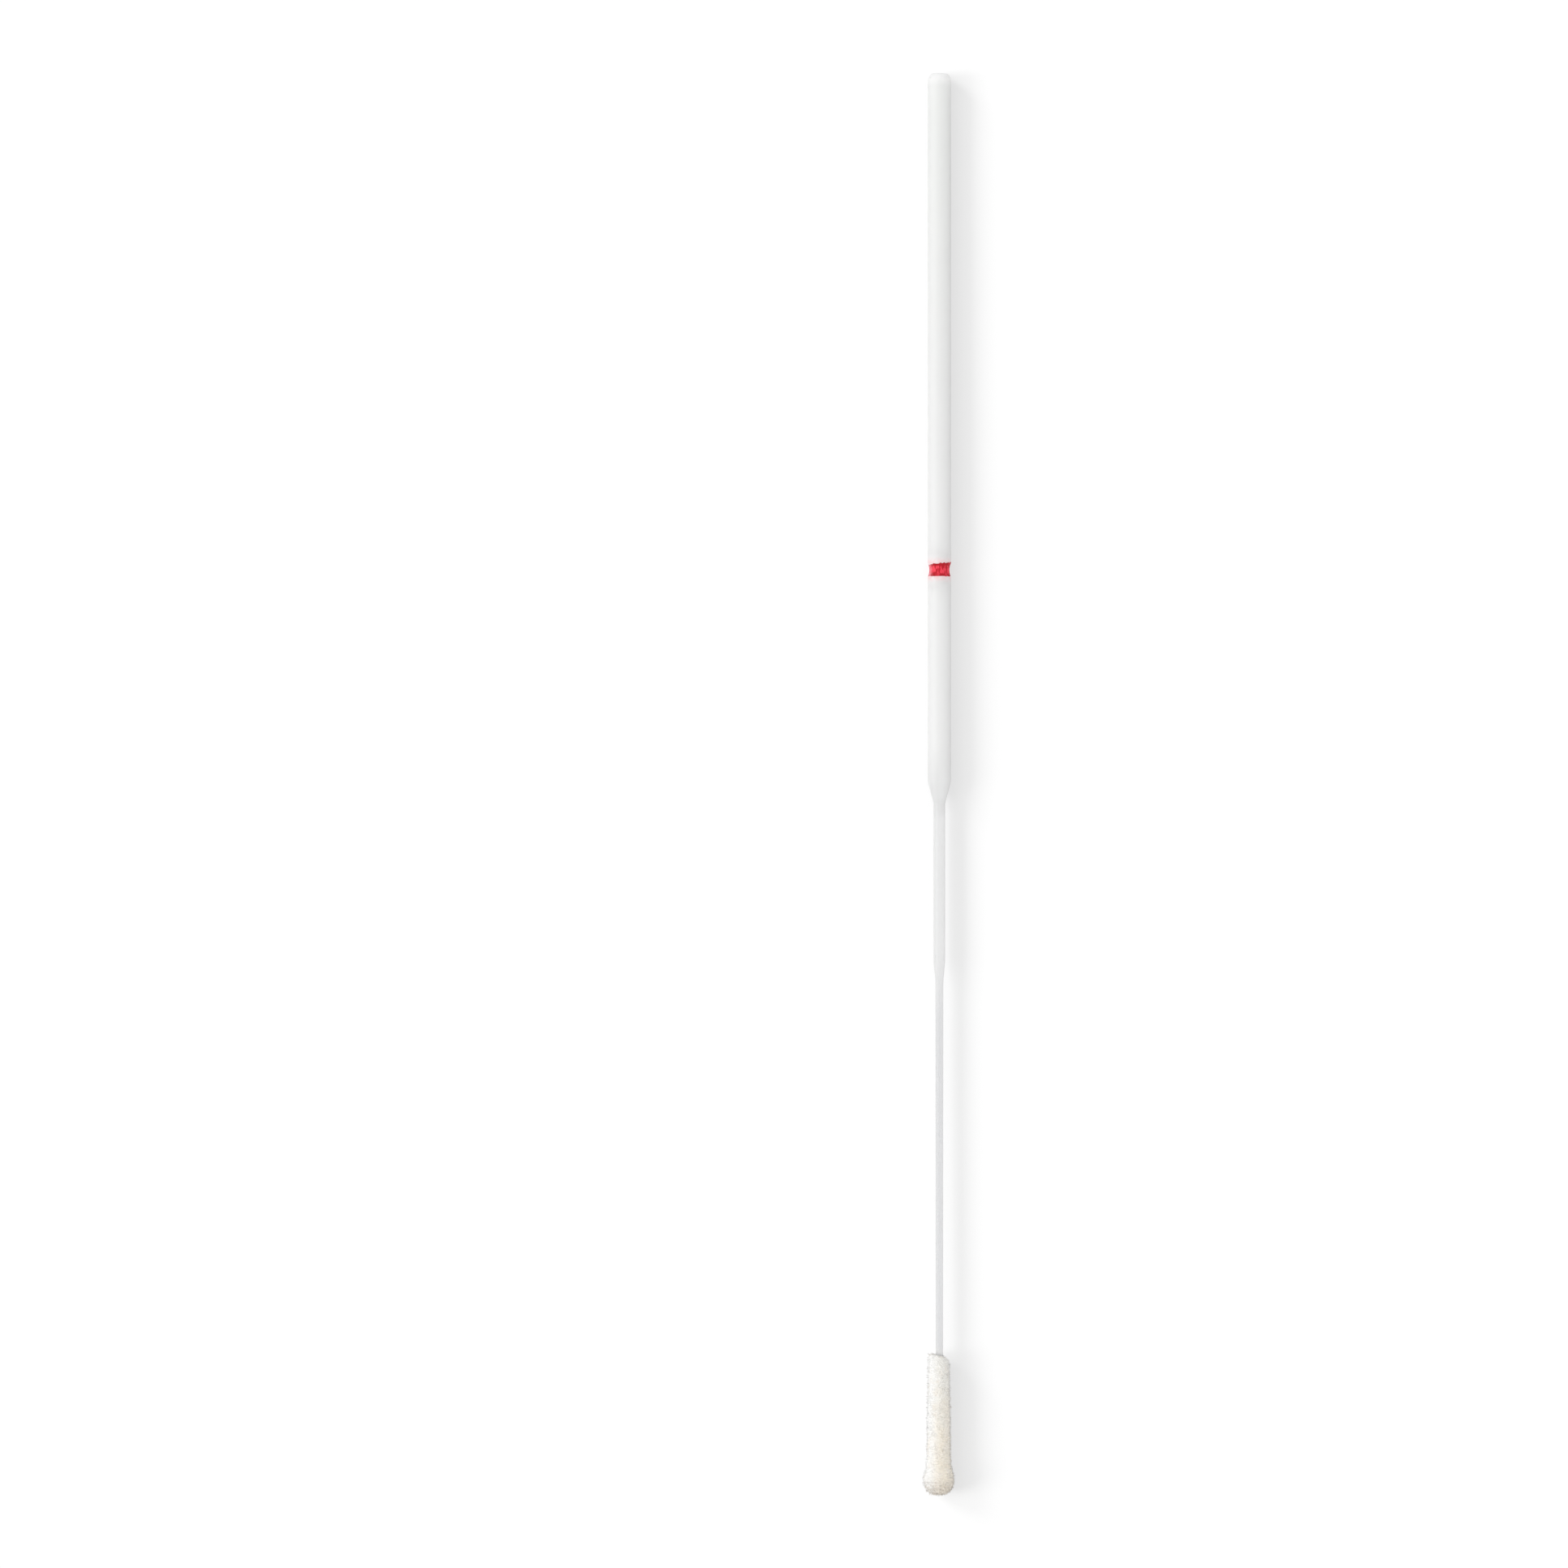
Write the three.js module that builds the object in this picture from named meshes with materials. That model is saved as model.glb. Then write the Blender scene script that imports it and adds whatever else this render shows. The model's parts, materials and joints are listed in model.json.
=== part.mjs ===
// Flocked specimen swab: a one-piece moulded plastic shaft with a snap-off break point,
// a ring of red ink in the break groove, and a tip flocked with short fibres.
//
// Millimetres, +Z up. The swab lies on a surface along Y, with its tip towards -Y. Each piece
// is turned on a lathe around its own Y axis, which starts at the tip's blunt end, and the
// whole swab is then laid down so that the tip's bulb and the handle's end touch z = 0.

import * as THREE from 'three';

// Stretches of the swab, in order from the tip's blunt end to the handle's end
const FLOCK_LENGTH = 15;
const NECK_LENGTH = 40;
const NECK_FLARE_LENGTH = 3.2;
const STEM_LENGTH = 16.55;
const SHOULDER_LENGTH = 2.35;
const LOWER_HANDLE_LENGTH = 22.9;
const UPPER_HANDLE_LENGTH = 53.7;

// Shaft
const HANDLE_DIAMETER = 2.5;
const HANDLE_END_FLAT_DIAMETER = 1.2;
const HANDLE_END_ROUNDING = 0.85;
const STEM_DIAMETER = 1.25;
const NECK_TOP_DIAMETER = 0.84;
const NECK_DIAMETER = 0.77;
const EDGE_BLEND = 0.35;

// Break groove and its ink
const GROOVE_WIDTH = 1.6;
const GROOVE_DEPTH = 0.19;
const INK_WIDTH = 1.4;
const INK_THICKNESS = 0.03;
const INK_CLEARANCE = 0.01;

// Tip: the shaft's core, and the flock around it
const CORE_WAIST_DIAMETER = 1.1;
const CORE_BULB_DIAMETER = 1.81;
const CORE_END_FLAT_DIAMETER = 1.0;
const CORE_END_ROUNDING = 0.78;
const BULB_FLARE_LENGTH = 2;
const FLOCK_PILE = 0.82;
const ADHESIVE_GAP = 0.04;
const FLOCK_EDGE_ROUNDING = 0.25;
const FLOCK_TOP_SLANT = 0.7;

// How long a flare keeps to its direction at each end, as a share of its length
const FLARE_EASE = 0.4;

// Facets around each lathed piece, and steps along each curve of its outline
const FACETS = 24;
const CURVE_STEPS = 8;

// Places along the swab's axis, from the tip's blunt end
const BULB_AT = FLOCK_PILE + CORE_END_ROUNDING;
const BULB_TOP = BULB_AT + BULB_FLARE_LENGTH;
const NECK_TOP = FLOCK_LENGTH + NECK_LENGTH;
const STEM_BOTTOM = NECK_TOP + NECK_FLARE_LENGTH;
const STEM_TOP = STEM_BOTTOM + STEM_LENGTH;
const HANDLE_BOTTOM = STEM_TOP + SHOULDER_LENGTH;
const BREAK_AT = HANDLE_BOTTOM + LOWER_HANDLE_LENGTH;
const HANDLE_TOP = BREAK_AT + UPPER_HANDLE_LENGTH;

const HANDLE_RADIUS = HANDLE_DIAMETER / 2;
const CORE_BULB_RADIUS = CORE_BULB_DIAMETER / 2;

// Radius of the arc that cuts the groove
const GROOVE_ARC_RADIUS = ((GROOVE_WIDTH / 2) ** 2 + GROOVE_DEPTH ** 2) / (2 * GROOVE_DEPTH);

function plasticMaterial() {
  return new THREE.MeshStandardMaterial({ color: 0xebebe9, roughness: 0.42, metalness: 0 });
}

function inkMaterial() {
  return new THREE.MeshStandardMaterial({ color: 0xd81e30, roughness: 0.5, metalness: 0 });
}

function flockMaterial() {
  return new THREE.MeshStandardMaterial({ color: 0xf2eee3, roughness: 0.95, metalness: 0 });
}

// Turns an outline, given upwards in (radius, place along the axis), with a flat facing -Z
function lathed(name, outline, material) {
  const geometry = new THREE.LatheGeometry(outline, FACETS, Math.PI / FACETS, 2 * Math.PI);
  const mesh = new THREE.Mesh(geometry, material);
  mesh.name = name;
  return mesh;
}

// Outline of the tip at a distance outside the shaft's core, from the axis at the blunt end
// up to the bulb and along the waist to the flock's top
function tipOutline(distance) {
  const flat = CORE_END_FLAT_DIAMETER / 2;
  const bulb = CORE_BULB_RADIUS + distance;
  const waist = CORE_WAIST_DIAMETER / 2 + distance;
  const rise = CORE_END_ROUNDING + distance;
  const outline = new THREE.Path();
  outline.moveTo(0, BULB_AT - rise);
  outline.lineTo(flat, BULB_AT - rise);
  outline.absellipse(flat, BULB_AT, bulb - flat, rise, -Math.PI / 2, 0, false, 0);
  outline.bezierCurveTo(
    bulb, BULB_AT + BULB_FLARE_LENGTH * FLARE_EASE,
    waist, BULB_TOP - BULB_FLARE_LENGTH * FLARE_EASE,
    waist, BULB_TOP,
  );
  outline.lineTo(NECK_DIAMETER / 2 + distance, FLOCK_LENGTH);
  return outline;
}

// Arc of the break groove's bottom, moved outwards, over a width centred on the break point
function grooveArc(width, distance) {
  const radius = GROOVE_ARC_RADIUS - distance;
  const half = Math.asin(width / 2 / radius);
  const centre = HANDLE_RADIUS - GROOVE_DEPTH + GROOVE_ARC_RADIUS;
  const arc = new THREE.EllipseCurve(centre, BREAK_AT, radius, radius, Math.PI + half, Math.PI - half, true);
  return arc.getPoints(CURVE_STEPS);
}

// The shaft is one moulding: tip core, thin neck, stem, shoulder and grooved handle
function shaft() {
  const neckTop = NECK_TOP_DIAMETER / 2;
  const stem = STEM_DIAMETER / 2;
  const blend = Math.min(EDGE_BLEND, SHOULDER_LENGTH / 2);
  const blendRadius = HANDLE_RADIUS - (HANDLE_RADIUS - stem) * blend / SHOULDER_LENGTH;

  const lower = tipOutline(0);
  lower.lineTo(neckTop, NECK_TOP);
  lower.bezierCurveTo(
    neckTop, NECK_TOP + NECK_FLARE_LENGTH * FLARE_EASE,
    stem, STEM_BOTTOM - NECK_FLARE_LENGTH * FLARE_EASE,
    stem, STEM_BOTTOM,
  );
  lower.lineTo(stem, STEM_TOP);
  lower.lineTo(blendRadius, HANDLE_BOTTOM - blend);
  lower.quadraticCurveTo(HANDLE_RADIUS, HANDLE_BOTTOM, HANDLE_RADIUS, HANDLE_BOTTOM + blend);

  const end = new THREE.Path();
  const endFlat = HANDLE_END_FLAT_DIAMETER / 2;
  end.absellipse(
    endFlat, HANDLE_TOP - HANDLE_END_ROUNDING,
    HANDLE_RADIUS - endFlat, HANDLE_END_ROUNDING, 0, Math.PI / 2, false, 0,
  );
  end.lineTo(0, HANDLE_TOP);

  const outline = [
    ...lower.getPoints(CURVE_STEPS),
    ...grooveArc(GROOVE_WIDTH, 0),
    ...end.getPoints(CURVE_STEPS),
  ];
  return lathed('shaft', outline, plasticMaterial());
}

// A thin ring of ink that lines the break groove
function breakMark() {
  const inside = grooveArc(INK_WIDTH, INK_CLEARANCE);
  const outside = grooveArc(INK_WIDTH, INK_CLEARANCE + INK_THICKNESS);
  const outline = [...outside, ...inside.reverse(), outside[0].clone()];
  return lathed('break_mark', outline, inkMaterial());
}

// The flock is a sleeve of upright fibres around the core, with a rounded and slightly slanted top edge
function flockedTip() {
  const outer = tipOutline(FLOCK_PILE).getPoints(CURVE_STEPS);
  const top = outer.pop();
  const edge = new THREE.Path();
  edge.absellipse(
    top.x - FLOCK_EDGE_ROUNDING, top.y - FLOCK_EDGE_ROUNDING,
    FLOCK_EDGE_ROUNDING, FLOCK_EDGE_ROUNDING, 0, Math.PI / 2, false, 0,
  );
  const bore = tipOutline(ADHESIVE_GAP).getPoints(CURVE_STEPS).reverse();
  const tip = lathed('flocked_tip', [...outer, ...edge.getPoints(CURVE_STEPS / 2), ...bore], flockMaterial());
  slantTop(tip.geometry, top.y - FLOCK_EDGE_ROUNDING);
  return tip;
}

// Raises one side of everything at or above a height and lowers the other
function slantTop(geometry, height) {
  const slope = FLOCK_TOP_SLANT / (NECK_DIAMETER + 2 * FLOCK_PILE);
  const places = geometry.attributes.position;
  for (let i = 0; i < places.count; i += 1) {
    if (places.getY(i) > height - FLOCK_EDGE_ROUNDING / 2) {
      places.setY(i, places.getY(i) - slope * places.getX(i));
    }
  }
}

// Lays the swab down: its bulb and the end of its handle both touch z = 0
function layDown(swab) {
  const facetDepth = Math.cos(Math.PI / FACETS);
  const bulb = (CORE_BULB_RADIUS + FLOCK_PILE) * facetDepth;
  const handle = HANDLE_RADIUS * facetDepth;
  const span = HANDLE_TOP - HANDLE_END_ROUNDING - BULB_AT;
  const tilt = Math.atan((bulb - handle) / span);
  swab.rotation.x = -tilt;
  swab.position.y = -HANDLE_TOP / 2 * Math.cos(tilt);
  swab.position.z = BULB_AT * Math.sin(tilt) + bulb * Math.cos(tilt);
}

const swab = new THREE.Group();
swab.add(shaft(), breakMark(), flockedTip());
layDown(swab);

const model = new THREE.Group();
model.add(swab);

export default model;
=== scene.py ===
"""Looks of a flocked specimen swab that lies on a white surface, seen from straight above.

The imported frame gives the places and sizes. The moulded shaft, the ink in its break groove and
the flock are built around the swab's own axis, from the tip's blunt end to the handle's end.
A point on the swab has a place along that axis, a radius and an angle, where angle 0 faces +X
and a quarter turn faces up. Lengths are in metres, and MM turns millimetres into them.
"""

import json
import math

import bpy
import numpy as np
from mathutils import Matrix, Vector


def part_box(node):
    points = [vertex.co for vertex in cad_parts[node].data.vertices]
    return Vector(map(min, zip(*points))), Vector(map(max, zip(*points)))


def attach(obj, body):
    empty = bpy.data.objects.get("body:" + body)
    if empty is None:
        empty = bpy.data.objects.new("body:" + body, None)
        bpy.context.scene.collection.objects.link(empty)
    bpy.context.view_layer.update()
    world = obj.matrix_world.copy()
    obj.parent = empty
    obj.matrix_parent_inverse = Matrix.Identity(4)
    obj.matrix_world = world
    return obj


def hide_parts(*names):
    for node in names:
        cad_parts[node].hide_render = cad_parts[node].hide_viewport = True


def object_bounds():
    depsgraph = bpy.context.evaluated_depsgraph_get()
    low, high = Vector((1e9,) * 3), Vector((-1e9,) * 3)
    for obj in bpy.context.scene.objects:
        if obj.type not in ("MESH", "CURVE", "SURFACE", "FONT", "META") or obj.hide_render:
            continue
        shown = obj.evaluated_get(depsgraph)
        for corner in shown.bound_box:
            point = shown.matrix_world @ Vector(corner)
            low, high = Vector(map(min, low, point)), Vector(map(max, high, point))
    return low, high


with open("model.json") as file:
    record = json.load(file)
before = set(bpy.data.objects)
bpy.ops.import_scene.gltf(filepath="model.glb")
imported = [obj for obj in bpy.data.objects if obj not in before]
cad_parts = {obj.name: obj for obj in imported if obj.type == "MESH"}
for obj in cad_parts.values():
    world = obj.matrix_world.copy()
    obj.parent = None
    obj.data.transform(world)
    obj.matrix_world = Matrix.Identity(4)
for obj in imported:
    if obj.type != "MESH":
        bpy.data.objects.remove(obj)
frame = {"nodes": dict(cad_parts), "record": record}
cad_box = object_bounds()

MM = 0.001
BODY = "root"
SEED = 7

# Moulded shaft
SHAFT_SEGMENTS = 96
OUTLINE_STEP = 0.2 * MM
LONGEST_STEP = 0.8 * MM
OUTLINE_ERROR = 0.0004 * MM
CORNER_PASSES = 2
PARTING_ANGLES = (math.radians(8), math.radians(188))
PARTING_HEIGHT = 0.012 * MM
PARTING_HALF_TURN = math.radians(1.4)
GATE_RADIUS = 0.35 * MM
GATE_FLOOR_RADIUS = 0.4 * GATE_RADIUS
GATE_DEPTH = 0.06 * MM

# Ink in the break groove
INK_SEGMENTS = 288
INK_ROWS = 14
INK_THICKNESS = 0.022 * MM
INK_CLEARANCE = 0.006 * MM
INK_UPPER_TEETH = 0.14 * MM
INK_LOWER_TEETH = 0.04 * MM
INK_SLANT = 0.15 * MM
TOOTH_PITCH = 0.2 * MM
WAVE_PITCH = 0.7 * MM
WAVE_SHARE = 0.4
# Shares of the ink's width between which its thickness rises, at both edges
INK_RIM = (-0.1, 0.12)

# Flock: a body with low broken ridges, and fibres that lean together along the ridges
BODY_SEGMENTS = 160
BODY_STEP = 0.05 * MM
BODY_RECESS = 0.03 * MM
BODY_LUMP = 0.02 * MM
BODY_LUMP_PASSES = 3
BORE_GAP = 0.04 * MM
BORE_RINGS = 120
RIDGE_PITCH = 0.42 * MM
RIDGE_HEIGHT = 0.13 * MM
RIDGE_WANDER = 0.85
RIDGE_CELL = 0.35 * MM
RIDGE_LEAST = 0.1
RIDGE_PULL = 0.5
FIBRE_PITCH = 0.062 * MM
FIBRE_RADIUS = 0.014 * MM
FIBRE_ROOT_DEPTH = 0.3 * MM
FIBRE_TIP_SPREAD = 0.05 * MM
FIBRE_LEAN = 0.028 * MM
FIBRE_BEND = 0.012 * MM
FIBRE_TAPER = 0.95
FIBRE_SIDES = 3
FIBRE_RINGS = 3
FIBRE_PIECES = ("flock_fibres_bulb", "flock_fibres_middle", "flock_fibres_top")
SPIKE_PITCH = 0.3 * MM
SPIKE_FIBRES = 7
SPIKE_HEIGHT = (-0.04 * MM, 0.08 * MM)
SPIKE_LEAN = 0.04 * MM
SPIKE_SPREAD = 0.026 * MM
SPIKED_END = 1.7 * MM
SPIKED_SIDE = 0.92
TOP_ROUNDING = 0.5 * MM
TOP_DOME = 0.2 * MM
TOP_SQUARENESS = 2.8
TOP_STEPS = 24
TOP_SLOPE = 0.2
TOP_CURL = 0.26 * MM
TOP_CURL_FROM = 0.35 * MM
TOP_CURL_TO = 1.2 * MM
FLOCK_SHIFT = 0.08 * MM
SLANTED_STRETCH = 3 * MM
FLOOR_CLEARANCE = 0.004 * MM

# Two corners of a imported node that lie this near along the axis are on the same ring
SAME_RING = 2e-6
# A direction in which no fibre runs, from which the directions square to each fibre are found
OFF_FIBRES = (0.31, 0.83, 0.46)

# Colours of the shaft. A pair is for the -X and the +X side, the +X one with painted light, or for the
# two ends of a pattern.
# SIDES are places across the swab. A FADE runs along it: from the tip's blunt end for the stem
# and the neck, and from the handle's end, the shoulder's foot or the groove's middle otherwise.
CLOUD_GREYS = (0.695, 0.70, 0.695, 1), (0.723, 0.72, 0.714, 1)
HANDLE_TINGE = (0.698, 0.716, 0.692, 1)
HANDLE_TINGE_LENGTH = 45 * MM
HANDLE_TINGE_SHARE = 0.6
# Painted light on the handle's rounded end, which faces the lamp
HANDLE_END_PAINTED_LIGHT = (0.80, 0.80, 0.79, 1)
HANDLE_END_LIGHT_FADE = (-1.6 * MM, -0.3 * MM)
# Greyer where slim, with painted light towards +X, where light gathers through the thin plastic
STEM_GREYS_PAINTED_LIGHT = (0.58, 0.583, 0.581, 1), (0.67, 0.674, 0.672, 1)
STEM_LIGHT_SIDES = (-0.5 * MM, 0.6 * MM)
STEM_FADE = (75 * MM, 82 * MM)
# Painted shade around the foot of the shoulder, where the taper meets the stem
SHOULDER_PAINTED_SHADE = (0.53, 0.533, 0.531, 1)
SHOULDER_FOOT = 74.3 * MM
SHOULDER_SHADE_FADE = (0.3 * MM, 1.3 * MM)
SHOULDER_SHADE_SHARE = 0.5
# Greyer where thin, with painted light towards +X, where light gathers through the thin plastic
NECK_GREYS_PAINTED_LIGHT = (0.435, 0.44, 0.452, 1), (0.505, 0.51, 0.522, 1)
NECK_LIGHT_SIDES = (-0.1 * MM, 0.4 * MM)
NECK_FADE = (50 * MM, 60 * MM)
# Painted light, which lifts the shade where the neck goes into the flock
NECK_FOOT_PAINTED_LIGHT = (0.88, 0.88, 0.88, 1)
NECK_FOOT_LIGHT_FADE = (14.9 * MM, 16.2 * MM)
BREAK_GREY = (0.86, 0.835, 0.835, 1)
BREAK_FADE = (0.75 * MM, 2.4 * MM)
# Painted light: pink beside the groove, for red light that the ink scatters into the plastic
INK_LIGHT_PAINTED_PINK = (0.92, 0.48, 0.50, 1)
INK_LIGHT_FADE = (0.75 * MM, 1.5 * MM)
INK_LIGHT_SHARE = 0.5

# Colours of the ink
INK_RED = (0.90, 0.055, 0.09, 1)
INK_STREAK_RED = (0.52, 0.008, 0.02, 1)
INK_EDGE_RED = (0.43, 0.006, 0.014, 1)
# Painted highlight on the ink's -X side, which faces the lamp
INK_PAINTED_HIGHLIGHT = (0.86, 0.33, 0.38, 1)
INK_STREAK_STRETCH = (1.07, 0.33, 1.02)
INK_EDGE_FADE = (0.32 * MM, 0.5 * MM)
INK_HIGHLIGHT_SIDES = (-1.1 * MM, -0.65 * MM)

# Colours of the flock. A pair is for its top and for its bulb.
# The tips are whiter than the roots, a painted sheen of the neutral reflection of fibre ends
FIBRE_TIP_SHEEN_CREAMS = (0.97, 0.967, 0.95, 1), (0.97, 0.94, 0.885, 1)
FIBRE_ROOT_CREAMS = (0.96, 0.953, 0.92, 1), (0.96, 0.905, 0.81, 1)
FIBRE_TONE_CREAM = (0.93, 0.89, 0.82, 1)
FIBRE_TONE_SHARE = 0.1
BODY_CREAMS = (0.96, 0.945, 0.90, 1), (0.95, 0.88, 0.76, 1)
# Painted light on the flock's -X side, which faces the lamp
FLOCK_PAINTED_LIGHT = (0.975, 0.975, 0.97, 1)
FLOCK_LIGHT_SIDES = (-1.3 * MM, 0.2 * MM)
FLOCK_LIGHT_SHARE = 0.85
# Painted shade on the flock's +X side, away from the lamp
FLOCK_PAINTED_SHADE = (0.68, 0.66, 0.63, 1)
FLOCK_SHADE_SIDES = (0.7 * MM, 1.5 * MM)
FLOCK_SHADE_SHARE = 0.5
FLOCK_PEACH = (0.95, 0.90, 0.83, 1)
FLOCK_PEACH_SHARE = 0.7
# Painted shade between the tufts towards the blunt end
FLOCK_END_PAINTED_SHADE = (0.66, 0.585, 0.50, 1)
FLOCK_END_SHADE_FADE = (0.3 * MM, 2.4 * MM)
FLOCK_END_SHADE_SHARE = 0.65

# Camera, light and floor
VIEW_SIDE = 169.5 * MM
CAMERA_X = -16.8 * MM
CAMERA_LENS = 150
SENSOR = 36
WORLD_LIGHT = 0.865
KEY_LIGHT = 0.135
KEY_ELEVATION = math.radians(33)
KEY_SPREAD = math.radians(30)
# Lamps for the floor alone: level, elevation, spread, and turn from the left towards the handle's end
SHADOW_LAMPS = (
    (0.36, math.radians(25), math.radians(23), math.radians(35)),
    (0.36, math.radians(30), math.radians(23), math.radians(-8)),
    (0.27, math.radians(46), math.radians(44), math.radians(12)),
)
FLOOR_SIDE = 3
FLOOR_GREY = 0.43
FLOOR_GREY_SEEN = 0.2
FLOOR_GLOW_SEEN = 0.625


# ---- Places on the swab ----

def swab_axis():
    """The unit vector along the swab, and the point where its axis leaves the tip's blunt end."""
    end = next(m for m in frame["record"]["mounts"] if m["name"] == "handle_end")
    along = Vector(end["axis"]).normalized()
    top = Vector(end["pos_m"])
    corners = frame["nodes"]["flocked_tip"].data.vertices
    length = max((top - corner.co).dot(along) for corner in corners)
    return along, top - along * length


ALONG, TIP = swab_axis()
ACROSS = Vector((1, 0, 0))
UPWARD = ACROSS.cross(ALONG)


def on_swab(place, radius, angle):
    """The points at these places along the axis, radii and angles."""
    place, radius, angle = np.broadcast_arrays(place, radius, angle)
    along = np.multiply.outer(place, np.array(ALONG))
    across = np.multiply.outer(radius * np.cos(angle), np.array(ACROSS))
    upward = np.multiply.outer(radius * np.sin(angle), np.array(UPWARD))
    return np.array(TIP) + along + across + upward


def corners_of(node):
    """The places and radii of a lathed node's corners, in order along the axis."""
    found = set()
    for corner in frame["nodes"][node].data.vertices:
        offset = corner.co - TIP
        place = offset.dot(ALONG)
        radius = (offset - ALONG * place).length
        found.add((round(place, 6), round(radius, 6)))
    return np.array(sorted(found))


def cut_fine(outline, step):
    """The same outline with points at most a step apart."""
    fine = [outline[0]]
    for start, end in zip(outline, outline[1:]):
        count = max(1, math.ceil(np.linalg.norm(end - start) / step))
        fine.extend(start + (end - start) * i / count for i in range(1, count + 1))
    return np.array(fine)


def corners_cut(outline):
    """One pass of corner cutting, which keeps both ends."""
    near = outline[:-1] * 0.75 + outline[1:] * 0.25
    far = outline[:-1] * 0.25 + outline[1:] * 0.75
    between = np.stack([near, far], axis=1).reshape(-1, 2)
    return np.vstack([outline[:1], between, outline[-1:]])


def thinned(outline):
    """The outline without the points that lie on a straight line between their neighbours."""
    kept = [outline[0]]
    for point, after in zip(outline[1:-1], outline[2:]):
        span = after - kept[-1]
        offset = point - kept[-1]
        reach = np.linalg.norm(span)
        error = abs(span[0] * offset[1] - span[1] * offset[0]) / reach
        if error > OUTLINE_ERROR or reach > LONGEST_STEP:
            kept.append(point)
    kept.append(outline[-1])
    return np.array(kept)


def shaft_outline():
    """The shaft's outline from the axis at its core's end to the axis at the handle's end."""
    corners = corners_of("shaft")
    start, end = corners[0, 0], corners[-1, 0]
    first = corners[corners[:, 0] < start + SAME_RING]
    last = corners[corners[:, 0] > end - SAME_RING]
    side = corners[len(first):len(corners) - len(last)]
    outline = [(start, 0), (start, first[:, 1].max()), *side, (end, last[:, 1].max()), (end, 0)]
    soft = cut_fine(np.array(outline), OUTLINE_STEP)
    for _ in range(CORNER_PASSES):
        soft = corners_cut(soft)
    return thinned(soft)


SHAFT_OUTLINE = shaft_outline()


def shaft_radius(place):
    """The shaft's radius at places along the axis."""
    return np.interp(place, SHAFT_OUTLINE[1:-1, 0], SHAFT_OUTLINE[1:-1, 1])


# ---- Meshes ----

def mesh_of(name, points, triangles):
    """A smooth-shaded mesh from rows of points and rows of three corner numbers."""
    mesh = bpy.data.meshes.new(name)
    count = len(triangles)
    mesh.vertices.add(len(points))
    mesh.vertices.foreach_set("co", np.asarray(points, np.float32).ravel())
    mesh.loops.add(count * 3)
    mesh.loops.foreach_set("vertex_index", triangles.astype(np.int32).ravel())
    mesh.polygons.add(count)
    mesh.polygons.foreach_set("loop_start", np.arange(0, count * 3, 3, dtype=np.int32))
    mesh.polygons.foreach_set("use_smooth", np.ones(count, dtype=bool))
    mesh.update(calc_edges=True)
    return mesh


def add_piece(mesh, node, material):
    """Puts a piece with its mesh's name in the scene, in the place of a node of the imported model."""
    piece = bpy.data.objects.new(mesh.name, mesh)
    bpy.context.scene.collection.objects.link(piece)
    mesh.materials.append(material)
    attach(piece, BODY)
    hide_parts(node)


def side_triangles(rings, segments, joined=False):
    """Triangles between rings of points, with the last ring joined to the first if asked."""
    ring = np.arange(rings if joined else rings - 1)[:, None]
    turn = np.arange(segments)[None, :]
    after = (ring + 1) % rings
    beside = (turn + 1) % segments
    corners = [ring * segments + turn, after * segments + turn]
    corners += [after * segments + beside, ring * segments + beside]
    quads = np.stack(corners, axis=-1).reshape(-1, 4)
    return np.vstack([quads[:, [0, 1, 2]], quads[:, [0, 2, 3]]])


def closed_mesh(name, rings, start, end):
    """A closed mesh over rings of points, with one point more at each end."""
    count, segments = rings.shape[:2]
    turn = np.arange(segments)
    beside = (turn + 1) % segments
    last = (count - 1) * segments
    pole = np.full(segments, count * segments)
    start_fan = np.stack([pole, turn, beside], axis=1)
    end_fan = np.stack([pole + 1, last + beside, last + turn], axis=1)
    triangles = np.vstack([side_triangles(count, segments), start_fan, end_fan])
    return mesh_of(name, np.vstack([rings.reshape(-1, 3), start, end]), triangles)


def smooth_step(value, low, high):
    """Nought at low and one at high, with a smooth way between them."""
    share = np.clip((value - low) / (high - low), 0, 1)
    return share * share * (3 - 2 * share)


def ring_noise(rng, knots, angles):
    """Smooth random values from -1 to 1 around a ring."""
    values = rng.uniform(-1, 1, knots)
    at = np.mod(angles / (2 * math.pi), 1) * knots
    before = np.floor(at).astype(int) % knots
    share = smooth_step(at - np.floor(at), 0, 1)
    return values[before] * (1 - share) + values[(before + 1) % knots] * share


def surface_noise(rng, shape, passes):
    """Random values from about -1 to 1 over a grid that wraps around its second axis."""
    values = rng.normal(size=shape)
    for _ in range(passes):
        values = values + np.roll(values, 1, axis=1) + np.roll(values, -1, axis=1)
        padded = np.pad(values, ((1, 1), (0, 0)), mode="edge")
        values = padded[:-2] + padded[1:-1] + padded[2:]
    return values / np.abs(values).max()


# ---- Materials ----

def new_material(name, roughness, specular=0.5):
    """A material with its node tree and its shader."""
    material = bpy.data.materials.new(name)
    material.use_nodes = True
    shader = material.node_tree.nodes["Principled BSDF"]
    shader.inputs["Roughness"].default_value = roughness
    shader.inputs["Specular IOR Level"].default_value = specular
    return material, material.node_tree, shader


def plug(tree, socket, value):
    """Gives a socket a plain value, or links it to another node's output."""
    if isinstance(value, bpy.types.NodeSocket):
        tree.links.new(value, socket)
    else:
        socket.default_value = value


def object_place(tree):
    """The place on the object, in metres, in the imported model's frame."""
    return tree.nodes.new("ShaderNodeTexCoord").outputs["Object"]


def noise(tree, place, size, detail=2.0):
    """Cloudy values around 0.5, with features of about the given size."""
    made = tree.nodes.new("ShaderNodeTexNoise")
    made.inputs["Scale"].default_value = 1 / size
    made.inputs["Detail"].default_value = detail
    plug(tree, made.inputs["Vector"], place)
    return made.outputs["Fac"]


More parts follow.
